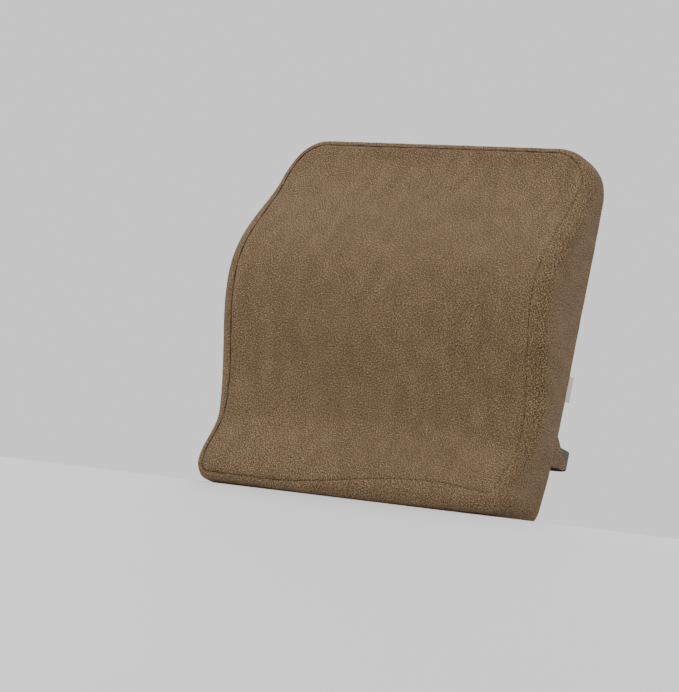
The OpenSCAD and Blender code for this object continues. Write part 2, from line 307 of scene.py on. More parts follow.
def settle(points):
    """How the filled cushion gives: its foot narrows, and its front edge hangs a little.

    The narrowing is a bell curve of the height. The hang grows towards the front edge, fades
    with the height, and is a bell curve across the width.
    """
    f = form()
    pinch_h, hang_run, hang_h, hang_x, hang_w = 0.05, 0.03, 0.045, 0.02, 0.15
    x, y, z = points[..., 0], points[..., 1], points[..., 2]
    x = x * (1 - f.pinch * bell(z / pinch_h))
    ahead = fade(y, HANG_Y, HANG_Y - hang_run)
    hang = ahead * (1 - fade(z, 0, hang_h)) * bell((x - hang_x) / hang_w)
    return np.stack([x, y, z - f.sag * hang], -1)


def back_y(x, z):
    return BACK_Y - roll_off(edge_distance(x, z), form().heel_r)


def outline(step=0.003):
    """Points and outward normals [x, z] round the front outline, from the foot's middle."""
    f = form()
    runs = []

    def line(a, b, normal):
        n = max(2, int(math.dist(a, b) / step))
        t = np.linspace(0, 1, n, endpoint=False)[:, None]
        runs.append((np.array(a) * (1 - t) + np.array(b) * t, np.tile(normal, (n, 1))))

    def bend(cx, cz, r, a0):
        n = max(8, int(r * math.pi / 2 / step * 1.6))
        a = np.radians(a0 + 90 * np.linspace(0, 1, n, endpoint=False))
        normal = np.stack([np.cos(a), np.sin(a)], -1)
        runs.append((np.array([cx, cz]) + r * normal, normal))

    rf, rt = f.foot_corner, f.top_corner
    line((JOIN_X, 0), (HALF_W - rf, 0), (0, -1))
    bend(HALF_W - rf, rf, rf, -90)
    line((HALF_W, rf), (HALF_W, TOP_Z - rt), (1, 0))
    bend(HALF_W - rt, TOP_Z - rt, rt, 0)
    line((HALF_W - rt, TOP_Z), (rt - HALF_W, TOP_Z), (0, 1))
    bend(rt - HALF_W, TOP_Z - rt, rt, 90)
    line((-HALF_W, TOP_Z - rt), (-HALF_W, rf), (-1, 0))
    bend(rf - HALF_W, rf, rf, 180)
    line((rf - HALF_W, 0), (JOIN_X, 0), (0, -1))
    points = np.concatenate([r[0] for r in runs] + [[[JOIN_X, 0.0]]])
    normals = np.concatenate([r[1] for r in runs] + [[[0.0, -1.0]]])
    return points, normals


def band(back_in, inset=0.0, side_rows=14, step=0.003, to_seam=True):
    """The side band as a grid: front rounding, straight side and back rounding.

    Each row of the grid follows the outline; across it the normal turns from the front's to
    the outline's and then to the back's. Returns points, normals, run and reach, the last two
    being the distance along the outline and across the band.
    """
    f = form()
    base, normal = outline(step)
    nx, nz = normal[:, 0], normal[:, 1]
    r, h = rounding(nx, nz) - inset, f.heel_r
    seam = seam_inset(nx, nz) - inset if to_seam else r
    flat = np.maximum(seam - r, 0)
    arc = r * np.arccos(1 - np.minimum(seam, r) / r)
    last = math.acos(1 - max(back_in - inset, 0) / h)
    rows, turned = [], []

    def row(drop, weight, y_of, a, facing):
        at = base - normal * (drop + inset)[:, None]
        z = at[:, 1] + (slide(at[:, 0], at[:, 1]) - at[:, 1]) * weight * to_seam
        rows.append(np.stack([at[:, 0], y_of(at[:, 0], z), z], -1))
        a = np.broadcast_to(a, nx.shape)
        turned.append(np.stack([nx * np.cos(a), facing * np.sin(a), nz * np.cos(a)], -1))

    for k in np.linspace(1, 0, 12, endpoint=False):
        rest = (arc + flat) * k
        a = np.minimum(rest / r, np.pi / 2)
        drop = r * (1 - np.cos(a)) + np.maximum(rest - r * np.pi / 2, 0)
        fall = r * (1 - np.sin(a))

        def over(x, z, fall=fall):
            return front_y(x, z) if to_seam else BACK_Y - thickness(z) + inset + fall

        row(drop, 1.0, over, a, -1)
    for t in np.linspace(0, 1, side_rows, endpoint=False):

        def across(x, z, t=t):
            begin = BACK_Y - thickness(z) + inset + r
            return begin + (BACK_Y - inset - h - begin) * t

        row(np.zeros_like(r), (1 - t) ** 2, across, 0.0, 1)
    for a in np.linspace(0, last, 6):

        def behind(x, z, a=a):
            return np.full_like(x, BACK_Y - inset + h * (math.sin(a) - 1))

        row(np.full_like(r, h * (1 - math.cos(a))), 0.0, behind, a, 1)
    points, normals = np.stack(rows, 1), np.stack(turned, 1)
    run = steps_along(base)
    reach = np.concatenate(
        [np.zeros((len(base), 1)), np.cumsum(np.linalg.norm(np.diff(points, axis=1), axis=2), 1)], 1
    )
    return points, normals, run, reach


def stand_out(points, normals, reach):
    """The sides' belly: a sine across the band, fullest near its front and at mid height."""
    f = form()
    rise_from, rise_to, fall_from, fall_to = 0.03, 0.14, 0.30, 0.40
    lean_forward, least = 0.6, 0.12
    share = reach / reach[:, -1:]
    z = points[..., 2]
    tall = fade(z, rise_from, rise_to) * (1 - fade(z, fall_from, fall_to))
    side = np.sum(normals[..., [0, 2]] ** 2, -1) * normals[..., 0] ** 2
    full = np.sin(np.pi * share**lean_forward) * np.maximum(tall, least)
    return points + normals * (f.belly * full * side)[..., None]


def gathers(run, away):
    """Small gathers beside a seam: three waves along it that fade with the distance from it."""
    waves, fade_run = ((1.0, 0.0046, 0.0), (0.7, 0.0071, 1.3), (0.5, 0.0173, 0.0)), 0.0065
    wave = sum(size * np.sin(run / step + start) for size, step, start in waves)
    return form().pucker * wave * np.exp(-away / fade_run)


def seam_pull(away):
    """How far the cloth is drawn in at a distance from a seam: a bell curve."""
    return form().valley * bell(away / form().valley_w)


def face_grid(inset, top_in, low_z, columns, rows):
    """x and z of a grid that fills the outline's inside at an inset.

    The columns crowd towards both sides: their place is a blend of a line and a sine.
    """
    f = form()
    t, even = np.linspace(-1, 1, columns), 0.45
    u = even * t + (1 - even) * np.sin(t * np.pi / 2)
    a = np.linspace(0, np.pi / 2, 30)
    z_mid = np.linspace(0, 1, rows)
    rt = f.top_corner - by_edge(np.cos(a), np.sin(a), inset, top_in, top_in)
    z_top = TOP_Z - f.top_corner + rt * np.sin(a)
    w_top = HALF_W - f.top_corner + rt * np.cos(a)
    if low_z < f.foot_corner:
        rf = f.foot_corner - by_edge(np.sin(a), np.cos(a), inset, low_z, low_z)
        z_low = f.foot_corner - rf * np.cos(a)
        w_low = HALF_W - f.foot_corner + rf * np.sin(a)
    else:
        z_low, w_low = np.array([low_z]), np.array([HALF_W - inset])
    z_mid = z_low[-1] + (z_top[0] - z_low[-1]) * z_mid[1:-1]
    z = np.concatenate([z_low, z_mid, z_top])
    w = np.concatenate([w_low, np.full(len(z_mid), HALF_W - inset), w_top])
    return w[:, None] * u[None, :], np.repeat(z[:, None], columns, 1)


def pole_form(inset, rings, step):
    """The whole cushion at an inset as one closed grid from the front's pole to the back's.

    Rings shrink towards the middle of the front, run over the side band, and shrink towards
    the middle of the back.
    """
    f = form()
    points, _, _, _ = band(f.heel_r, inset, side_rows=8, step=step, to_seam=False)
    points = points[:-1]
    middle = np.array([0.0, TOP_Z / 2])
    front, back = [], []
    for k in np.linspace(0, 1, rings, endpoint=False)[1:]:
        at = middle + (points[:, 0][:, [0, 2]] - middle) * k
        y = BACK_Y - thickness(at[:, 1]) + inset
        front.append(np.stack([at[:, 0], y, at[:, 1]], -1))
        at = middle + (points[:, -1][:, [0, 2]] - middle) * (1 - k)
        back.append(np.stack([at[:, 0], np.full(len(at), BACK_Y - inset), at[:, 1]], -1))
    return np.concatenate([np.stack(front, 1), points, np.stack(back, 1)], 1)


# ---------------------------------------------------------------- meshes


def fill_mesh(name, verts, quads, uv=None):
    """A smooth mesh of quads from arrays, with an optional UV pair for each vertex."""
    mesh = bpy.data.meshes.new(name)
    verts, quads = np.asarray(verts, "f4").reshape(-1, 3), np.asarray(quads, "i4").reshape(-1, 4)
    mesh.vertices.add(len(verts))
    mesh.vertices.foreach_set("co", verts.ravel())
    mesh.loops.add(quads.size)
    mesh.loops.foreach_set("vertex_index", quads.ravel())
    mesh.polygons.add(len(quads))
    mesh.polygons.foreach_set("loop_start", np.arange(0, quads.size, 4, dtype="i4"))
    mesh.polygons.foreach_set("use_smooth", np.ones(len(quads), bool))
    if uv is not None:
        layer = mesh.uv_layers.new(name="Cloth")
        layer.data.foreach_set("uv", np.asarray(uv, "f4").reshape(-1, 2)[quads.ravel()].ravel())
    mesh.update(calc_edges=True)
    mesh.validate()
    obj = bpy.data.objects.new(name, mesh)
    bpy.context.scene.collection.objects.link(obj)
    return obj


def grid_quads(rows, columns, wrap_rows=False, wrap_columns=False, flip=False):
    """Vertex numbers of the quads of a grid, with either direction joined to itself."""
    i = np.arange(rows if wrap_rows else rows - 1)[:, None]
    j = np.arange(columns if wrap_columns else columns - 1)[None, :]
    i2, j2 = (i + 1) % rows, (j + 1) % columns
    quads = np.stack([i * columns + j, i2 * columns + j, i2 * columns + j2, i * columns + j2], -1)
    quads = quads.reshape(-1, 4)
    return quads[:, ::-1] if flip else quads


def mend(obj, weld=0.0, fill=False):
    """Welds doubles and closes holes where asked, and turns the faces outwards."""
    bm = bmesh.new()
    bm.from_mesh(obj.data)
    if weld:
        bmesh.ops.remove_doubles(bm, verts=bm.verts, dist=weld)
    if fill:
        bmesh.ops.holes_fill(bm, edges=[e for e in bm.edges if e.is_boundary], sides=0)
        bmesh.ops.triangulate(bm, faces=[p for p in bm.faces if len(p.verts) > 4])
    bmesh.ops.recalc_face_normals(bm, faces=bm.faces)
    bm.to_mesh(obj.data)
    bm.free()
    return obj


def solidify(obj, thick):
    """Gives a cloth sheet its thickness, inwards from its outer face."""
    wall = obj.modifiers.new("Cloth", "SOLIDIFY")
    wall.thickness, wall.offset, wall.use_rim = thick, -1, True


def closed_grid(name, grid):
    """A closed surface from a grid whose columns run from pole to pole and rows go round."""
    return mend(fill_mesh(name, grid, grid_quads(*grid.shape[:2], wrap_rows=True)), fill=True)


def coordinates(mesh):
    """The places of a mesh's vertices as an array."""
    co = np.empty(len(mesh.vertices) * 3, "f4")
    mesh.vertices.foreach_get("co", co)
    return co.reshape(-1, 3).astype(float)


def steps_along(path):
    """Distance along a path at each of its points."""
    return np.concatenate([[0], np.cumsum(np.linalg.norm(np.diff(path, axis=0), axis=1))])


def tube_along(path, side, half_a, half_b, power, around):
    """A closed tube carried along a path, with its two ends drawn to a point.

    Its section is a superellipse: half_a wide towards side and half_b deep across it, with
    cos and sin of the angle raised to power. Returns points, and the signed width and run of
    each for a UV map.
    """
    step = np.gradient(path, axis=0)
    tangent = step / np.linalg.norm(step, axis=1, keepdims=True)
    side = np.broadcast_to(side, path.shape)
    side = side - tangent * np.sum(side * tangent, 1, keepdims=True)
    side = side / np.linalg.norm(side, axis=1, keepdims=True)
    depth = np.cross(tangent, side)
    turn = np.linspace(0, 2 * np.pi, around, endpoint=False)
    c, s = np.cos(turn), np.sin(turn)
    a = half_a * np.sign(c) * np.abs(c) ** power
    b = half_b * np.sign(s) * np.abs(s) ** power
    end_taper = 0.8
    share = np.ones(len(path) + 4)
    share[[0, -1]], share[[1, -2]] = 0.0, end_taper
    pick = np.concatenate([[0, 0], np.arange(len(path)), [len(path) - 1] * 2])
    offset = side[pick, None] * a[:, None] + depth[pick, None] * b[:, None]
    points = path[pick, None] + offset * share[:, None, None]
    run = steps_along(path)[pick]
    uv = np.stack(np.broadcast_arrays(run[:, None], a[None, :] * share[:, None]), -1)
    return points, uv


def carried(name, path, side, half_a, half_b, power=0.35, around=16):
    """A closed tube mesh along a path: webbing, a tape, a label or a wire."""
    points, uv = tube_along(np.asarray(path, float), side, half_a, half_b, power, around)
    obj = fill_mesh(name, points, grid_quads(*points.shape[:2], wrap_columns=True), uv)
    return mend(obj, weld=1e-7)


def stitches(name, at, along, out):
    """Short capsules of thread, one at each point, arched over the cloth.

    Along each stitch the radius follows a flattened half circle, and its middle stands highest.
    """
    t = trim()
    rings, around = 7, 6
    s = np.linspace(-1, 1, rings)
    turn = np.linspace(0, 2 * np.pi, around, endpoint=False)
    at, along, out = (np.asarray(v, float).reshape(-1, 3) for v in (at, along, out))
    along = along / np.linalg.norm(along, axis=1, keepdims=True)
    out = out / np.linalg.norm(out, axis=1, keepdims=True)
    across = np.cross(along, out)
    girth = t.thread_r * np.sqrt(np.clip(1 - s**2, 0, 1)) ** 0.5
    rise = t.thread_r * (1.1 - 2.0 * s**2)

    def part(direction, size):
        return direction[:, None, None] * size[None, ..., None]

    points = at[:, None, None] + part(along, t.stitch_len / 2 * s[:, None] * np.ones(around))
    points = points + part(across, girth[:, None] * np.cos(turn))
    points = points + part(out, girth[:, None] * np.sin(turn) + rise[:, None])
    one = grid_quads(rings, around, wrap_columns=True)
    quads = (one[None] + rings * around * np.arange(len(at))[:, None, None]).reshape(-1, 4)
    return mend(fill_mesh(name, points, quads), weld=1e-7)


def dashes(path):
    """Points and directions of evenly spaced stitches along a polyline."""
    path = np.asarray(path, float)
    run, nudge = steps_along(path), 1e-4
    count = max(1, int(run[-1] / trim().stitch_pitch))
    where = (np.arange(count) + 0.5) * run[-1] / count

    def at(distance):
        return np.stack([np.interp(distance, run, path[:, k]) for k in range(3)], -1)

    return at(where), at(where + nudge) - at(where - nudge)


def softened(node):
    """A copy of a moulded or cast part with its edges rounded a little."""
    bm = bmesh.new()
    bm.from_mesh(frame["nodes"][node].data)
    bmesh.ops.remove_doubles(bm, verts=bm.verts, dist=1e-6)
    flat, sharp = math.radians(1), math.radians(40)
    bmesh.ops.dissolve_limit(bm, angle_limit=flat, verts=bm.verts, edges=bm.edges)
    mesh = bpy.data.meshes.new(node + "_soft")
    bm.to_mesh(mesh)
    bm.free()
    mesh.shade_smooth()
    obj = bpy.data.objects.new(node + "_soft", mesh)
    bpy.context.scene.collection.objects.link(obj)
    edge = obj.modifiers.new("Edge", "BEVEL")
    edge.width, edge.segments = trim().soften, 3
    edge.limit_method, edge.angle_limit, edge.harden_normals = "ANGLE", sharp, True
    return obj


# ---------------------------------------------------------------- cloth


def settled(obj):
    """The mesh of an object with its modifiers at work."""
    return obj.evaluated_get(bpy.context.evaluated_depsgraph_get())


def voxel_cage():
    """The filled cushion as one even mesh of small faces, slightly small, to be swelled."""
    cage = closed_grid("swell_cage", settle(pole_form(CAGE_IN, 22, CAGE_FACE)))
    remesh = cage.modifiers.new("Remesh", "REMESH")
    remesh.mode, remesh.voxel_size = "VOXEL", CAGE_FACE
    mesh = bpy.data.meshes.new_from_object(settled(cage))
    cage.modifiers.clear()
    cage.data = mesh
    return cage


def hold_seams(cage, rest):
    """Pins the cage where a seam is sewn, along both edges of the band, and over its back.

    The hold is a bell curve of the distance to the nearer seam.
    """
    seam_run, back_skin, back_run, back_hold, levels = 0.008, 0.006, 0.004, 0.9, 10
    d = edge_distance(rest[:, 0], rest[:, 2])
    front = rest[:, 1] < BACK_Y - form().brow_t / 2
    back = rest[:, 1] > BACK_Y - back_skin
    from_front = np.abs(d - SEAM_IN) + np.where(front, 0, 1)
    from_back = np.abs(d - BACK_SEAM_IN) + np.where(back, 0, 1)
    held = bell(np.minimum(from_front, from_back) / seam_run)
    near_back = (rest[:, 1] - BACK_Y + back_run) / (back_run * 0.75)
    held = np.maximum(held, np.clip(near_back, 0, back_hold))
    group = cage.vertex_groups.new(name="held")
    for k in range(levels + 1):
        share = np.flatnonzero(np.round(held * levels).astype(int) == k)
        if len(share):
            group.add(share.tolist(), k / levels, "REPLACE")
    return group.name


def evened(mesh, moved, rounds):
    """Each round takes a point's move halfway to the mean of its neighbours' moves."""
    edges = np.empty(len(mesh.edges) * 2, "i4")
    mesh.edges.foreach_get("vertices", edges)
    a, b = edges.reshape(-1, 2).T
    here, there = np.concatenate([a, b]), np.concatenate([b, a])
    near = np.maximum(np.bincount(here, minlength=len(moved)), 1)[:, None]
    for _ in range(rounds):
        sums = [np.bincount(here, moved[there, k], len(moved)) for k in range(3)]
        moved = (moved + np.stack(sums, -1) / near) / 2
    return moved


def swell(cage):
    """Fills the cage with Blender's cloth under pressure and returns how far each point moved.

    The move is evened and capped softly: it follows the hyperbolic tangent of its share of
    the cap.
    """
    frames, rounds = 20, 30
    rest = coordinates(cage.data)
    cloth = cage.modifiers.new("Cloth", "CLOTH")
    s = cloth.settings
    s.vertex_group_mass = hold_seams(cage, rest)
    s.quality, s.mass = 6, 0.3
    s.tension_stiffness = s.compression_stiffness = 14
    s.shear_stiffness, s.bending_stiffness = 6, 4
    s.use_pressure, s.uniform_pressure_force = True, 4
    s.effector_weights.gravity = 0
    cloth.collision_settings.use_collision = False
    scene = bpy.context.scene
    for step in range(frames):
        scene.frame_set(step + 1)
    moved = coordinates(settled(cage).data) - rest
    cage.modifiers.remove(cloth)
    scene.frame_set(1)
    moved = evened(cage.data, moved, rounds)
    cap = form().swell
    far = np.linalg.norm(moved, axis=1, keepdims=True)
    return moved * (cap * np.tanh(far / cap) / np.maximum(far, 1e-9))


def rest_flat(points):
    """Keeps the cushion flat where it rests: on its foot and against its back plane."""
    proud = 0.0006
    on_foot = points[:, 1] > HANG_Y
    points[:, 2] = np.where(on_foot, np.maximum(points[:, 2], 0.0), points[:, 2])
    points[:, 1] = np.minimum(points[:, 1], BACK_Y + proud)
    return points


def follow_cage(cage, moved, pieces):
    """Binds the fine pieces to the cage at rest, moves the cage, and keeps the result."""
    rest = coordinates(cage.data)
    for piece in pieces:
        bind = piece.modifiers.new("Follow", "SURFACE_DEFORM")
        bind.target = cage
        with bpy.context.temp_override(object=piece, active_object=piece):
            bpy.ops.object.surfacedeform_bind(modifier=bind.name)
        if not bind.is_bound:
            raise RuntimeError(f"{piece.name} did not bind to the swelled cage")
    cage.data.vertices.foreach_set("co", (rest + moved).astype("f4").ravel())
    cage.data.update()
    for piece in pieces:
        done = coordinates(settled(piece).data)
        piece.modifiers.clear()
        piece.data.vertices.foreach_set("co", rest_flat(done).astype("f4").ravel())
        piece.data.update()


# ---------------------------------------------------------------- shaders


class Wire:
    """An output socket that can be used in a Python expression."""

    def __init__(self, nodes, socket):
        self.nodes, self.socket = nodes, socket

    def _math(self, operation, *terms):
        return self.nodes.node("ShaderNodeMath", {"operation": operation}, dict(enumerate(terms)))

    def __add__(self, other):
        return self._math("ADD", self, other)

    def __radd__(self, other):
        return self._math("ADD", other, self)

    def __sub__(self, other):
        return self._math("SUBTRACT", self, other)

    def __rsub__(self, other):
        return self._math("SUBTRACT", other, self)

    def __mul__(self, other):
        return self._math("MULTIPLY", self, other)

    def __rmul__(self, other):
        return self._math("MULTIPLY", other, self)

    def sin(self):
        return self._math("SINE", self)

    def abs(self):
        return self._math("ABSOLUTE", self)


class Nodes:
    """A node tree written as expressions."""

    def __init__(self, tree):
        self.tree = tree

    def node(self, kind, settings, values, output=0):
        """Adds a node, sets its settings and inputs, and returns one of its outputs."""
        made = self.tree.nodes.new(kind)
        for name, value in settings.items():
            setattr(made, name, value)
        for key, value in values.items():
            if isinstance(value, Wire):
                self.tree.links.new(value.socket, made.inputs[key])
            else:
                made.inputs[key].default_value = value
        return Wire(self, made.outputs[output])

    def drive(self, name, socket, wire):
        """Joins a wire to an input of a node that the tree already has."""
        self.tree.links.new(wire.socket, self.tree.nodes[name].inputs[socket])

    def part(self, vector, axis):
        return self.node("ShaderNodeSeparateXYZ", {}, {0: vector}, axis)

    def span(self, value, low, high, to_low=0.0, to_high=1.0):
        values = {0: value, 1: low, 2: high, 3: to_low, 4: to_high}
        return self.node("ShaderNodeMapRange", {"clamp": True}, values)


class Shade(Nodes):
    """A material's node tree, with the textures and inputs that the looks share."""

    def __init__(self, name, roughness, metallic=0.0, **constants):
        self.material = bpy.data.materials.new(name)
        self.material.use_nodes = True
        super().__init__(self.material.node_tree)
        inputs = self.tree.nodes["Principled BSDF"].inputs
        inputs["Roughness"].default_value = roughness
        inputs["Metallic"].default_value = metallic
        for socket, value in constants.items():
            inputs[socket.replace("_", " ")].default_value = value

    def uv(self):
        return self.node("ShaderNodeUVMap", {"uv_map": "Cloth"}, {})

    def place(self):
        return self.node("ShaderNodeTexCoord", {}, {}, "Object")

    def scaled(self, vector, x, y, z=1.0):
        settings = {"operation": "MULTIPLY"}
        return self.node("ShaderNodeVectorMath", settings, {0: vector, 1: (x, y, z)})

    def wave(self, value, pitch):
        """A sine wave that repeats after each pitch."""
        return (value * (2 * math.pi / pitch)).sin()

    def noise(self, vector, scale, detail=2.0, rough=0.5):
        values = {"Vector": vector, "Scale": scale, "Detail": detail, "Roughness": rough}
        return self.node("ShaderNodeTexNoise", {"noise_dimensions": "3D"}, values, "Fac")

    def cells(self, vector, scale):
        values = {"Vector": vector, "Scale": scale}
        return self.node("ShaderNodeTexVoronoi", {"feature": "F1"}, values, "Distance")

    def mix(self, share, a, b):
        values = {0: share, 6: a, 7: b}
        for key in (6, 7):
            if not isinstance(values[key], Wire):
                values[key] = (*values[key], 1)
        return self.node("ShaderNodeMix", {"data_type": "RGBA"}, values, 2)

    def bump(self, height, distance, strength=1.0):
        values = {"Height": height, "Distance": distance, "Strength": strength}
        wire = self.node("ShaderNodeBump", {}, values, "Normal")
        self.drive("Principled BSDF", "Normal", wire)

    def colour(self, wire):
        self.drive("Principled BSDF", "Base Color", wire)

    def roughness(self, wire):
        self.drive("Principled BSDF", "Roughness", wire)


def toned(colour, share):
    """A colour made darker or lighter by a share."""
    return tuple(k * share for k in colour)


def knit_cloth():
    """Heathered jersey: brown yarn with light and dark flecks, small loops with painted shade in
    the valleys between them, and soft fuzz.
    """
    c = colours()
    s = Shade("knit_cloth", 0.92, Sheen_Weight=0.03, Sheen_Roughness=0.6, Specular_IOR_Level=0.2)
    uv = s.uv()
    u, v = s.part(uv, 0), s.part(uv, 1)
    across, along = s.scaled(uv, 640, 1080), s.scaled(uv, 1130, 580)
    grain = s.noise(across, 1.0, 2.0, 0.6) * 0.55 + s.noise(along, 1.0, 2.0, 0.6) * 0.45
    shade = s.noise(s.scaled(uv, 9, 7), 1.0, 3.0, 0.55)
    cloud = s.noise(s.scaled(uv, 60, 34), 1.0, 3.0, 0.6)
    tone = grain + (shade - 0.5) * 0.03 + (cloud - 0.5) * 0.07
    body = s.mix(s.span(tone, 0.415, 0.525), c.yarn_dark_and_shade, c.yarn)
    body = s.mix(s.span(tone, 0.525, 0.635), body, c.yarn_light)
    wale, course = 0.0013, 0.0011
    lean = s.wave(v, 2 * course).abs() * 0.0005
    loop = s.wave(u + lean, wale) * 0.6 + s.wave(v, course) * 0.4
    # Painted shade: the low valleys between the loops are darkened towards the dark-fleck colour.
    s.colour(s.mix(s.span(loop, -0.9, 0.1, 0.3, 0.0), body, c.yarn_dark_and_shade))
    s.bump(loop * 0.6 + grain * 0.7 + s.noise(uv, 2400, 2.0) * 0.35, 0.00016, 0.7)
    s.roughness(s.span(grain, 0.3, 0.7, 0.98, 0.84))
    return s.material


def spacer_mesh():
    """Dark spacer mesh: rows of small round holes between knitted ribs, painted nearly black inside
    as shade.
    """
    c = colours()
    s = Shade("spacer_mesh", 0.85, Sheen_Weight=0.1, Specular_IOR_Level=0.3)
    uv, pitch = s.uv(), 0.0034
    rows = s.wave(s.part(uv, 0), pitch) * s.wave(s.part(uv, 1), pitch)
    hole = s.span(rows.abs(), 0.35, 0.75)
    fuzz = s.noise(uv, 900, 3.0)
    yarn = s.mix(fuzz, c.mesh, toned(c.mesh, 1.7))
    # Painted shade: the holes are a quarter as bright as the mesh colour.
    s.colour(s.mix(hole, yarn, toned(c.mesh, 0.25)))
    s.bump((1 - hole) + fuzz * 0.3, 0.0008, 0.8)
    return s.material


def foam_look():
    """Open-cell foam: pale yellow with pits of two sizes, painted darker inside as shade."""
    foam = colours().foam
    s = Shade("foam_look", 0.9, Specular_IOR_Level=0.2)
    pit, fine = s.cells(s.place(), 420), s.cells(s.place(), 1300)
    # Painted shade: the pits, the low middles of the cells, are darkened to seven tenths of the
    # foam colour.
    s.colour(s.mix(s.span(pit * 0.6 + fine * 0.4, 0.15, 0.6), toned(foam, 0.7), foam))
    s.bump(pit + fine * 0.5, 0.001, 0.7)
    return s.material


def liner_look():
    """Thin white jersey: fine vertical ribs and a faint cloudiness."""
    liner = colours().liner
    s = Shade("liner_look", 0.85, Sheen_Weight=0.1)
    p = s.place()
    s.colour(s.mix(s.noise(p, 40, 3.0), toned(liner, 0.79), liner))
    s.bump(s.wave(s.part(p, 0), 0.0012) * 0.5 + s.noise(p, 1500) * 0.6, 0.0003, 0.6)
    return s.material


def tape_weave():
    """Zip tape: a herringbone of fine dark yarn, its ridges painted lighter and its grooves darker
    as light and shade.
    """
    c = colours()
    s = Shade("tape_weave", 0.8, Specular_IOR_Level=0.3)
    uv = s.uv()
    zig = s.wave(s.part(uv, 1), 0.0028).abs() * 0.0011
    twill = s.wave(s.part(uv, 0) + zig, 0.0009)
    # Painted light and shade: the colour follows the twill's relief, lighter on the ridges and
    # darker in the grooves.
    s.colour(s.mix(s.span(twill, -1, 1), c.mesh, toned(c.mesh, 1.9)))
    s.bump(twill + s.noise(uv, 1800) * 0.5, 0.0002, 0.8)
    return s.material


def coil_nylon():
    """Dark nylon wire, half glossy, with faint scuffs."""
    c = colours()
    s = Shade("coil_nylon", 0.38)
    scuff = s.noise(s.place(), 300, 4.0)
    s.colour(s.mix(s.span(scuff, 0.45, 0.75), toned(c.mesh, 0.8), c.coil_scuff))
    s.roughness(s.span(scuff, 0.3, 0.7, 0.3, 0.55))
    s.bump(scuff, 0.0001, 0.4)
    return s.material


def zip_metal():
    """Die-cast zip metal: gunmetal plate, brushed along, brighter where it rubs."""
    metal = colours().metal
    s = Shade("zip_metal", 0.32, 1.0)
    p = s.place()
    brush = s.noise(s.scaled(p, 200, 1600, 1600), 1.0, 3.0)
    worn = s.span(s.noise(p, 260, 3.0), 0.5, 0.7)
    s.colour(s.mix(worn, toned(metal, 0.62), metal))
    s.roughness(s.span(brush, 0.3, 0.7, 0.22, 0.46))
    s.bump(brush, 0.00008, 0.5)
    return s.material


def label_satin():
    """Pale satin tape: long floats along the ribbon and a woven selvedge at both edges."""
    label = colours().label
    s = Shade("label_satin", 0.45, Sheen_Weight=0.25, Specular_IOR_Level=0.5)
    uv = s.uv()
    u, v = s.part(uv, 0), s.part(uv, 1)
    half, inner, outer = (LABEL[1][2] - LABEL[0][2]) / 2, 0.0016, 0.0010
    selvedge = s.span(v.abs(), half - inner, half - outer)
    floats = s.noise(s.scaled(uv, 500, 5200), 1.0, 2.0)
    s.colour(s.mix(selvedge * 0.5 + floats * 0.5, label, toned(label, 0.7)))
    weave, rib = s.wave(v, 0.00042), s.wave(u, 0.0007)
    s.bump(weave * 0.3 + floats * 0.6 + rib * selvedge, 0.00012, 0.7)
    s.roughness(s.span(floats, 0.3, 0.7, 0.36, 0.6))
    return s.material


def thread_of(name, tone):
    """Twisted sewing thread: fine slanted plies with painted shade between them."""
    s = Shade(name, 0.6, Sheen_Weight=0.2)
    p = s.place()
    ply = s.wave(s.part(p, 1) + s.part(p, 2), 0.0004)
    # Painted shade: the colour follows the plies' relief, darker in the grooves between them.
    s.colour(s.mix(s.span(ply, -1, 1), toned(tone, 0.6), tone))
    s.bump(ply, 0.0001, 0.8)
    return s.material


def thread_look():
    return thread_of("thread_look", colours().thread)


def dark_thread():
    return thread_of("dark_thread", colours().dark_thread)


def webbing_weave():
    """Black polypropylene webbing: slanted ribs that meet in rows, with random fibre tone and
    painted light and shade on the ribs.
    """
    webbing = colours().webbing
    s = Shade("webbing_weave", 0.55, Sheen_Weight=0.15, Specular_IOR_Level=0.4)
    uv = s.uv()
    row = s.wave(s.part(uv, 1), 0.0032).abs()
    rib = s.wave(s.part(uv, 0) + row * 0.0008, 0.0017)
    fibre = s.noise(s.scaled(uv, 900, 3600), 1.0, 2.0)
    # Partly random fibre tone, partly painted light and shade: the ribs' crests are lighter and
    # their grooves darker.
    s.colour(s.mix(s.span(rib * 0.5 + fibre, 0.1, 1.1), webbing, toned(webbing, 2.6)))
    s.bump(rib * 0.8 + row * 0.5 + fibre * 0.5, 0.0003, 0.9)
    s.roughness(s.span(fibre, 0.3, 0.7, 0.45, 0.7))
    return s.material


def moulded_plastic():
    """Black acetal: a fine spark-eroded grain with faint scuffs."""
    plastic = colours().plastic
    s = Shade("moulded_plastic", 0.42)
    p = s.place()
    scuff = s.noise(s.scaled(p, 90, 240, 240), 1.0, 4.0)
    s.colour(s.mix(s.span(scuff, 0.55, 0.8), plastic, toned(plastic, 2.2)))
    s.roughness(s.span(scuff, 0.3, 0.75, 0.36, 0.56))
    s.bump(s.noise(p, 2600, 2.0), 0.00006, 0.6)
    return s.material


def floor_look():
    """Matte pale floor with a very faint cloudiness."""
    floor = colours().floor
    s = Shade("floor_look", 0.7)
    s.colour(s.mix(s.noise(s.place(), 3.0, 2.0), floor, toned(floor, 1.02)))
    return s.material


MATERIALS = {}


def assign(obj, look):
    """Gives an object the material that a look makes, which is made once."""
    if look not in MATERIALS:
        MATERIALS[look] = look()
    obj.data.materials.clear()
    obj.data.materials.append(MATERIALS[look])


# ---------------------------------------------------------------- cover pieces


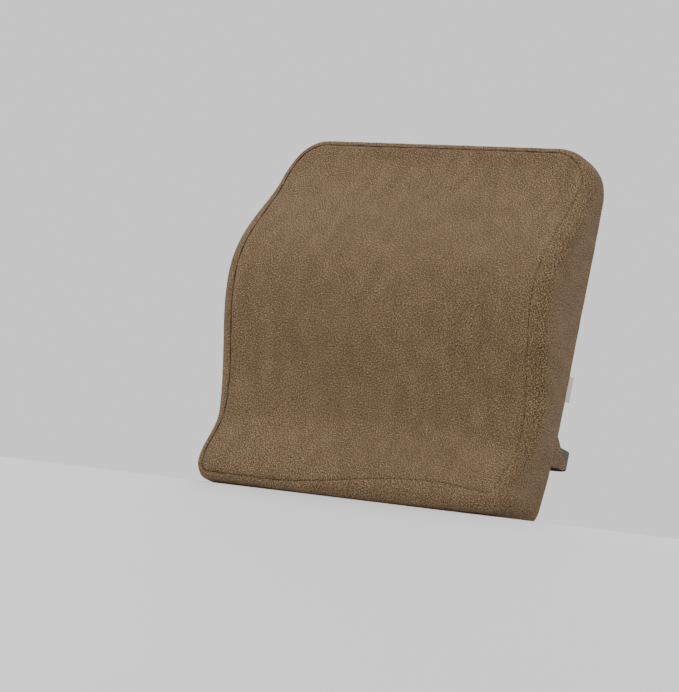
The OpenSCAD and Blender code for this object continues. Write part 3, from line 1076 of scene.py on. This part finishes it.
def front_panel():
    """The front panel: the contour with its edge drawn into the seam."""
    x, z = face_grid(SEAM_IN, form().top_seam, form().foot_seam, 160, 120)
    d, nx, nz = edge_frame(x, z)
    away = np.maximum(d - seam_inset(nx, nz), 0)
    z = slide(x, z)
    y = front_y(x, z) + seam_pull(away)
    beside = np.abs(x) > np.abs(z - TOP_Z / 2)
    y = y + gathers(np.where(beside, z, x), away)
    middle = x.shape[1] // 2
    up = steps_along(np.stack([y[:, middle], z[:, middle]], -1))
    uv = np.stack([x, np.repeat(up[:, None], x.shape[1], 1)], -1)
    quads = grid_quads(*x.shape, flip=True)
    return fill_mesh("front_panel_cloth", settle(np.stack([x, y, z], -1)), quads, uv)


def side_band():
    """The boxing: one strip round the sides whose ends meet in a join under the foot."""
    points, normals, run, reach = band(BACK_SEAM_IN)
    away, join_share = np.minimum(reach, reach[:, -1:] - reach), 0.7
    from_join = np.minimum(run, run[-1] - run)[:, None]
    drawn = seam_pull(away) + join_share * seam_pull(from_join) - gathers(run[:, None], away)
    points = settle(stand_out(points, normals, reach) - normals * drawn[..., None])
    uv = np.stack([np.repeat(run[:, None], reach.shape[1], 1), reach], -1)
    return fill_mesh("side_band_cloth", points, grid_quads(*reach.shape), uv)


def zip_gap(x):
    """Half the height of the zip's opening: even along the zip, closing just past its ends."""
    gap, past, closing = 0.004, 0.006, 0.0015
    return np.clip((ZIP_HALF + past - np.abs(x)) / closing, 0, 1) * gap


def hem_grid():
    """x and z of the hem strip's grid, from its rounded foot corners up to the zip."""
    columns, taper = 240, 0.008
    rf = form().foot_corner - BACK_SEAM_IN
    a = np.linspace(0, np.pi / 2, 10)
    z_low = BACK_SEAM_IN + rf * (1 - np.cos(a))
    w_low = HALF_W - form().foot_corner + rf * np.sin(a)
    w = np.concatenate([w_low, [HALF_W - BACK_SEAM_IN] * 6])
    z = np.concatenate([z_low, np.linspace(z_low[-1], ZIP_Z, 7)[1:]])
    x = w[:, None] * np.linspace(-1, 1, columns)[None, :]
    z = np.repeat(z[:, None], columns, 1)
    return x, z - zip_gap(x) * np.clip(1 - (ZIP_Z - z) / taper, 0, 1)


def back_grid():
    """x and z of the back panel's grid, above the zip."""
    taper = 0.02
    x, z = face_grid(BACK_SEAM_IN, BACK_SEAM_IN, ZIP_Z, 190, 110)
    return x, z + zip_gap(x) * np.clip(1 - (z - ZIP_Z) / taper, 0, 1)


def back_cloth(name, x, z):
    """A piece of the back: drawn into the seam, its zip edge folded in with a ridge beside it."""
    pull, fold, fold_w, ridge, ridge_at, ridge_w = 0.8, 0.0009, 0.0009, 0.0004, 0.004, 0.002
    edge = np.abs(z - ZIP_Z) - zip_gap(x)
    away = np.maximum(edge_distance(x, z) - BACK_SEAM_IN, 0)
    y = back_y(x, z) - seam_pull(away) * pull - gathers(x + z, away)
    y = y - fold * bell(edge / fold_w) + ridge * bell((edge - ridge_at) / ridge_w)
    points = settle(np.stack([x, y, z], -1))
    return fill_mesh(name, points, grid_quads(*x.shape), np.stack([x, z], -1))


class Maker:
    """What every operator of this add-on shares."""

    bl_options = {"REGISTER", "UNDO"}

    def finish(self, obj, look, slot, *nodes, body=BODY):
        """Gives a piece its look and its body, and hides the CAD nodes that it replaces; its slot
        is not used.
        """
        assign(obj, look)
        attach(obj, body)
        if nodes:
            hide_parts(*nodes)
        return obj


class CUSHION_OT_cover(Maker, bpy.types.Operator):
    """Sews the cover, fills it and swells it by cloth simulation"""

    bl_idname = "cushion.cover"
    bl_label = "Cover"

    def execute(self, context):
        front, sides = front_panel(), side_band()
        back = back_cloth("back_panel_mesh", *back_grid())
        hem = back_cloth("back_hem_mesh", *hem_grid())
        cage = voxel_cage()
        follow_cage(cage, swell(cage), [front, sides, back, hem])
        bpy.data.objects.remove(cage)
        for piece, node, look, slot in (
            (front, "cover_front_panel", knit_cloth, "cover_cloth"),
            (sides, "cover_boxing", knit_cloth, "cover_cloth"),
            (back, "cover_back_panel", spacer_mesh, "back_mesh"),
            (hem, "cover_back_hem", spacer_mesh, "back_mesh"),
        ):
            solidify(piece, form().cloth_t)
            self.finish(piece, look, slot, node)
        return {"FINISHED"}


class CUSHION_OT_filling(Maker, bpy.types.Operator):
    """Lays the foam block and its liner inside the cover"""

    bl_idname = "cushion.filling"
    bl_label = "Foam and liner"

    def execute(self, context):
        for node, look, slot in (
            ("foam_core", foam_look, "foam"),
            ("foam_liner", liner_look, "liner"),
        ):
            inset = HALF_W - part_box(node)[1][0]
            piece = closed_grid(node + "_block", settle(pole_form(inset, 14, 0.008)))
            self.finish(piece, look, slot, node)
        return {"FINISHED"}


class CUSHION_OT_zip(Maker, bpy.types.Operator):
    """Makes the zip: two tapes, two rows of nylon coil, the stops, the slider and its pull"""

    bl_idname = "cushion.zip"
    bl_label = "Zip"

    def tape(self, node):
        """A flat ribbon in the CAD tape's box that waves a hair's breadth up and down."""
        low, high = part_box(node)
        wave, wave_run = 0.00015, 0.013
        x = np.linspace(low[0], high[0], 160)
        y, z = (low[1] + high[1]) / 2, (low[2] + high[2]) / 2
        path = np.stack([x, np.full_like(x, y), z + wave * np.sin(x / wave_run)], -1)
        half, thick = (high[2] - low[2]) / 2 - wave, (high[1] - low[1]) / 2
        piece = carried(node + "_weave", path, (0, 0, 1), half, thick)
        self.finish(piece, tape_weave, "zip_tape", node)

    def coil(self, node, phase):
        """One row of the coil: a helix whose section is flattened to the coil's height."""
        low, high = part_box(node)
        wire, pitch = trim().coil_wire, trim().tooth_pitch
        turns = (high[0] - low[0] - 2 * wire) / pitch
        a = np.linspace(0, 2 * np.pi * turns, int(turns * 12))
        x = low[0] + wire + pitch * a / (2 * np.pi)
        y = (low[1] + high[1]) / 2 + ((high[1] - low[1]) / 2 - wire) * np.sin(a + phase)
        z = (low[2] + high[2]) / 2 + ((high[2] - low[2]) / 2 - wire) * np.cos(a + phase)
        path = np.stack([x, y, z], -1)
        piece = carried(node + "_turns", path, (1, 0, 0), wire, wire, 1.0, 6)
        self.finish(piece, coil_nylon, "zip_coil", node)

    def execute(self, context):
        self.tape("zip_tape_upper")
        self.tape("zip_tape_lower")
        self.coil("zip_coil_upper", 0.0)
        self.coil("zip_coil_lower", math.pi)
        for node, body in (("zip_stops", BODY), ("zip_slider", "slider"), ("zip_pull", "pull")):
            self.finish(softened(node), zip_metal, "zip_metal", node, body=body)
        return {"FINISHED"}


class CUSHION_OT_label(Maker, bpy.types.Operator):
    """Folds the blank care label and catches its ends in the back seam"""

    bl_idname = "cushion.label"
    bl_label = "Care label"

    def execute(self, context):
        low, high = LABEL
        z, half = (low[2] + high[2]) / 2, (high[2] - low[2]) / 2
        caught, short, curl, thick = 0.002, 0.0005, 0.0022, 0.00013
        s = np.linspace(0, 1, 20)
        out = low[1] - caught + (high[1] - low[1] - short + caught) * s
        side = low[0] + curl * s**2
        fold = np.linspace(0, np.pi, 8)[1:-1]
        r = trim().label_fold / 2
        turn = np.stack([side[-1] + r - r * np.cos(fold), out[-1] + r * np.sin(fold)], -1)
        near, far = np.stack([side, out], -1), np.stack([side + 2 * r, out], -1)[::-1]
        line = np.concatenate([near, turn, far])
        path = np.concatenate([line, np.full((len(line), 1), z)], 1)
        piece = carried("care_label_satin", path, (0, 0, 1), half, thick, 0.3, 20)
        self.finish(piece, label_satin, "label_satin", "care_label")
        return {"FINISHED"}


class CUSHION_OT_tabs(Maker, bpy.types.Operator):
    """Sews the two cloth tabs that hold the strap, with their stitching"""

    bl_idname = "cushion.tabs"
    bl_label = "Anchor tabs"

    def outline(self, low, high, out):
        """Low and high edges of the tab at a share of the way out: straight lines."""
        tip, share = low[2] + 0.003, np.clip(out, 0, 1)
        lower = low[2] + (tip - low[2]) * share
        upper = high[2] + (tip + trim().tab_tip - high[2]) * share
        return lower, upper

    def middle(self, out, sign):
        """The tab leans from the seam out to the webbing's plane: half a cosine wave."""
        inside, web = HALF_W - BACK_SEAM_IN - 0.0004, STRAP_R[1][0] - trim().web_t / 2
        return sign * (inside + (web - inside) * fade(out, -TAB_ROOT, TAB_LEAN - TAB_ROOT))

    def depth(self, out, over):
        """Half the tab's thickness: a layer of cloth, held apart by the webbing further out."""
        apart = fade(out, -TAB_ROOT, TAB_PART - TAB_ROOT) * over**0.6
        return trim().tab_skin * over**0.35 + trim().web_t / 2 * apart

    def make(self, node, sign):
        """A flat pillow: two layers that part over the webbing and meet at the folded edges."""
        low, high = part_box(node)
        round_off, ruffle, ruffle_run = 0.06, 0.0004, 0.004
        out = np.linspace(-TAB_ROOT, 1, 34)
        turn = np.linspace(0, 2 * np.pi, 44, endpoint=False)
        k = 0.5 - 0.5 * np.cos(turn)
        lower, upper = self.outline(low, high, out)
        ending = np.clip((out - 1 + round_off) / round_off, 0, 1)
        end = np.sqrt(np.clip(1 - ending**2, 0, 1))[:, None]
        deep = self.depth(out[:, None], np.sin(np.pi * k)) * end
        x = self.middle(out, sign)[:, None] + np.sign(np.sin(turn)) * deep
        y = np.repeat((low[1] + (high[1] - low[1]) * out)[:, None], len(turn), 1)
        z = lower[:, None] + (upper - lower)[:, None] * k[None, :]
        z = z + ruffle * np.sin(y / ruffle_run) * (2 * k - 1)
        quads = grid_quads(*x.shape, wrap_columns=True)
        piece = fill_mesh(
            node + "_cloth", np.stack([x, y, z], -1), quads, np.stack([y, z], -1)
        )
        mend(piece, weld=2e-5, fill=True)
        piece.data.shade_smooth()
        self.finish(piece, knit_cloth, "cover_cloth", node)
        self.sew(node, low, high, sign)

    def sew(self, node, low, high, sign):
        """A row of stitches inside each edge, on both faces."""
        edge_in = 0.0022
        out = np.linspace(0.04, 0.93, 20)
        lower, upper = self.outline(low, high, out)
        rows = [(out, lower + edge_in), (out, upper - edge_in)]
        for share in (0.90, 0.30):
            bottom, top = self.outline(low, high, share)
            rows.append((np.full(8, share), np.linspace(bottom + edge_in, top - edge_in, 8)))
        at, along, side = [], [], []
        for place, z in rows:
            y = low[1] + (high[1] - low[1]) * place
            lower, upper = self.outline(low, high, place)
            over = np.sin(np.pi * np.clip((z - lower) / (upper - lower), 0, 1))
            x, deep = self.middle(place, sign), self.depth(place, over)
            for face in (1, -1):
                points, ahead = dashes(np.stack([x + face * deep, y, z], -1))
                at.append(points)
                along.append(ahead)
                side.append(np.tile([face, 0, 0], (len(points), 1)))
        piece = stitches(node + "_stitches", *(np.concatenate(v) for v in (at, along, side)))
        self.finish(piece, thread_look, "cover_cloth")

    def execute(self, context):
        self.make("anchor_tab_right", 1)
        self.make("anchor_tab_left", -1)
        return {"FINISHED"}


class CUSHION_OT_strap(Maker, bpy.types.Operator):
    """Lays the two halves of the webbing through the buckle and sews the fixed one"""

    bl_idname = "cushion.strap"
    bl_label = "Strap"

    def path(self, box, sign, doubled):
        """Out of the tab, round a quarter turn, along the back, round the bar and back."""
        t = trim()
        wave, wave_run = 0.00025, 0.017
        low, high = box
        end, bend = (low[0], high[0]) if sign > 0 else (-high[0], -low[0])
        bend -= t.web_t / 2
        bar = end + (t.layer_gap + t.web_t) / 2
        outer = high[1] - t.web_t / 2
        inner = outer - t.layer_gap
        r, q = t.web_bend, t.layer_gap / 2
        a, b = np.radians(np.linspace(0, 90, 20)), np.radians(np.linspace(90, 270, 20))
        y = np.linspace(low[1], inner - r, 12)[:-1]
        rise = np.stack([np.full_like(y, bend), y], -1)
        turn = np.stack([bend - r + r * np.cos(a), inner - r + r * np.sin(a)], -1)
        x = np.linspace(bend - r, bar, 60)[1:-1]
        back = np.stack([x, np.full_like(x, inner)], -1)
        eye = np.stack([bar + q * np.cos(b), inner + q - q * np.sin(b)], -1)
        x = np.linspace(bar, bar + doubled, 40)[1:]
        over = np.stack([x, np.full_like(x, outer)], -1)
        line = np.concatenate([rise, turn, back, eye, over])
        z = (low[2] + high[2]) / 2 + wave * np.sin(line[:, 0] / wave_run)
        return np.stack([line[:, 0] * sign, line[:, 1], z], -1), bar, outer

    def web(self, name, node, path):
        """A band of webbing along a path, with softly rounded edges."""
        half = (STRAP_R[1][2] - STRAP_R[0][2]) / 2
        piece = carried(name, path, (0, 0, 1), half, trim().web_t / 2, 0.25, 28)
        return self.finish(piece, webbing_weave, "webbing", node)

    def box_stitch(self, bar, face):
        """A sewn box with a cross in it on the doubled webbing."""
        fold, start, edge_in = trim().fold_len, 0.42, 0.0022
        low, high = STRAP_R[0][2] + 0.0025, STRAP_R[1][2] - 0.0025
        a, b = bar + fold * start, bar + fold - edge_in
        corners = [(a, low), (b, low), (b, high), (a, high)]
        corners += [(a, low), (b, high), (b, low), (a, high)]
        at, along = [], []
        for (x0, z0), (x1, z1) in zip(corners, corners[1:]):
            points, ahead = dashes(np.linspace((x0, face, z0), (x1, face, z1), 3))
            at.append(points)
            along.append(ahead)
        at, along = np.concatenate(at), np.concatenate(along)
        sewn = stitches("strap_stitches", at, along, np.tile([0, 1, 0], (len(at), 1)))
        return self.finish(sewn, dark_thread, "webbing")

    def execute(self, context):
        t = trim()
        right, bar, outer = self.path(STRAP_R, 1, t.fold_len)
        left, _, _ = self.path(STRAP_L, -1, t.tail_len)
        held = self.web("strap_right_webbing", "strap_right", right)
        self.web("strap_left_webbing", "strap_left", left)
        sewn = self.box_stitch(bar, outer + t.web_t / 2)
        bend = STRAP_R[1][0]
        joint = next(j for j in frame["joints"] if j["name"] == "buckle_release")
        keep = 1 - joint["range_m"][1] / (bend - bar + t.layer_gap / 2)
        for piece in (held, sewn):
            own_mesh(piece)
        return {"FINISHED"}


class CUSHION_OT_buckle(Maker, bpy.types.Operator):
    """Rounds and dresses the buckle's socket and plug and the adjuster"""

    bl_idname = "cushion.buckle"
    bl_label = "Buckle and adjuster"

    def execute(self, context):
        for node, body in (
            ("buckle_socket", BODY),
            ("buckle_plug", "plug"),
            ("strap_adjuster", "adjuster"),
        ):
            self.finish(softened(node), moulded_plastic, "buckle_plastic", node, body=body)
        return {"FINISHED"}


# ---------------------------------------------------------------- stage


class CUSHION_OT_stage(Maker, bpy.types.Operator):
    """Sets up the pale floor, the soft lights, the world and the camera"""

    bl_idname = "cushion.stage"
    bl_label = "Stage"

    def camera(self, context):
        """Stands off along the view direction, turned about it so that the cushion leans."""
        p = context.scene.cushion_stage
        a, e, r = math.radians(p.azimuth), math.radians(p.elevation), math.radians(p.roll)
        back = Vector((math.sin(a) * math.cos(e), -math.cos(a) * math.cos(e), math.sin(e)))
        flat = Vector((math.cos(a), math.sin(a), 0))
        rise = back.cross(flat)
        right = flat * math.cos(r) + rise * math.sin(r)
        up = rise * math.cos(r) - flat * math.sin(r)
        at = Vector((0, 0, p.aim_z)) + back * p.distance + right * p.aside + up * p.above
        data = bpy.data.cameras.new("view")
        data.lens, data.clip_end = p.lens, 60
        cam = bpy.data.objects.new("view", data)
        turn = Matrix((right, up, back)).transposed().to_4x4()
        cam.matrix_world = Matrix.Translation(at) @ turn
        context.scene.collection.objects.link(cam)
        context.scene.camera = cam

    def floor(self):
        """A level floor that rolls off in front of the foot and falls away towards the viewer."""
        edge_y, roll_r, fall, below = 0.004, 0.20, math.radians(34), 0.0006
        level = np.array([[3.5, 0], [1.5, 0], [0.4, 0], [0.1, 0], [edge_y, 0]])
        a = np.linspace(0, fall, 24)[1:]
        rolled = np.stack([edge_y - roll_r * np.sin(a), -roll_r * (1 - np.cos(a))], -1)
        far = rolled[-1] + np.outer([1.0, 6.0], [-math.cos(fall), -math.sin(fall)])
        line = np.concatenate([level, rolled, far])
        x = np.linspace(-5, 5, 9)
        grid = np.stack(np.broadcast_arrays(x[None, :], line[:, :1], line[:, 1:] - below), -1)
        floor = fill_mesh("floor", grid, grid_quads(*grid.shape[:2]))
        assign(floor, floor_look)

    def lamp(self, name, place, aim_z, size, power):
        """A round soft lamp that faces a point over the middle of the foot."""
        data = bpy.data.lights.new(name, "AREA")
        data.shape, data.size, data.energy = "DISK", size, power
        lamp = bpy.data.objects.new(name, data)
        turn = (Vector((0, 0, aim_z)) - Vector(place)).to_track_quat("-Z", "Y")
        lamp.matrix_world = Matrix.Translation(place) @ turn.to_matrix().to_4x4()
        bpy.context.scene.collection.objects.link(lamp)

    def sky(self, context):
        """White above the horizon, dimmer further below it, so that light comes from above."""
        world = bpy.data.worlds.new("studio")
        world.use_nodes = True
        nodes = Nodes(world.node_tree)
        height = nodes.part(nodes.node("ShaderNodeTexCoord", {}, {}, "Generated"), 2)
        nodes.drive("Background", "Strength", nodes.span(height, -0.8, 0.0, 0.12, 1.0))
        world.node_tree.nodes["Background"].inputs["Color"].default_value = (1, 1, 1, 1)
        context.scene.world = world

    def execute(self, context):
        power = context.scene.cushion_stage.light
        self.camera(context)
        self.floor()
        self.lamp("key", (-0.75, -1.7, 2.3), 0.24, 1.5, power)
        self.lamp("fill", (0.6, -2.6, 0.9), 0.2, 1.8, power * 0.08)
        self.lamp("rim", (-0.9, 1.9, 1.6), 0.2, 1.6, power * 0.4)
        self.sky(context)
        return {"FINISHED"}


PROPERTIES = {
    "cushion_form": CushionForm,
    "cushion_trim": CushionTrim,
    "cushion_colours": CushionColours,
    "cushion_stage": CushionStage,
}
OPERATORS = (
    CUSHION_OT_stage,
    CUSHION_OT_filling,
    CUSHION_OT_cover,
    CUSHION_OT_zip,
    CUSHION_OT_label,
    CUSHION_OT_tabs,
    CUSHION_OT_strap,
    CUSHION_OT_buckle,
)


class CUSHION_PT_panel(bpy.types.Panel):
    """Lists the pieces of the cushion"""

    bl_label = "Cushion"
    bl_space_type = "VIEW_3D"
    bl_region_type = "UI"
    bl_category = "Cushion"

    def draw(self, context):
        for operator in OPERATORS:
            self.layout.operator(operator.bl_idname)


def register():
    for group in PROPERTIES.values():
        bpy.utils.register_class(group)
    for name, group in PROPERTIES.items():
        setattr(bpy.types.Scene, name, PointerProperty(type=group))
    for cls in (*OPERATORS, CUSHION_PT_panel):
        bpy.utils.register_class(cls)


def unregister():
    for cls in (CUSHION_PT_panel, *reversed(OPERATORS)):
        bpy.utils.unregister_class(cls)
    for name, group in reversed(PROPERTIES.items()):
        delattr(bpy.types.Scene, name)
        bpy.utils.unregister_class(group)


def main():
    register()
    for operator in OPERATORS:
        family, name = operator.bl_idname.split(".")
        getattr(getattr(bpy.ops, family), name)()


if __name__ == "__main__":
    main()
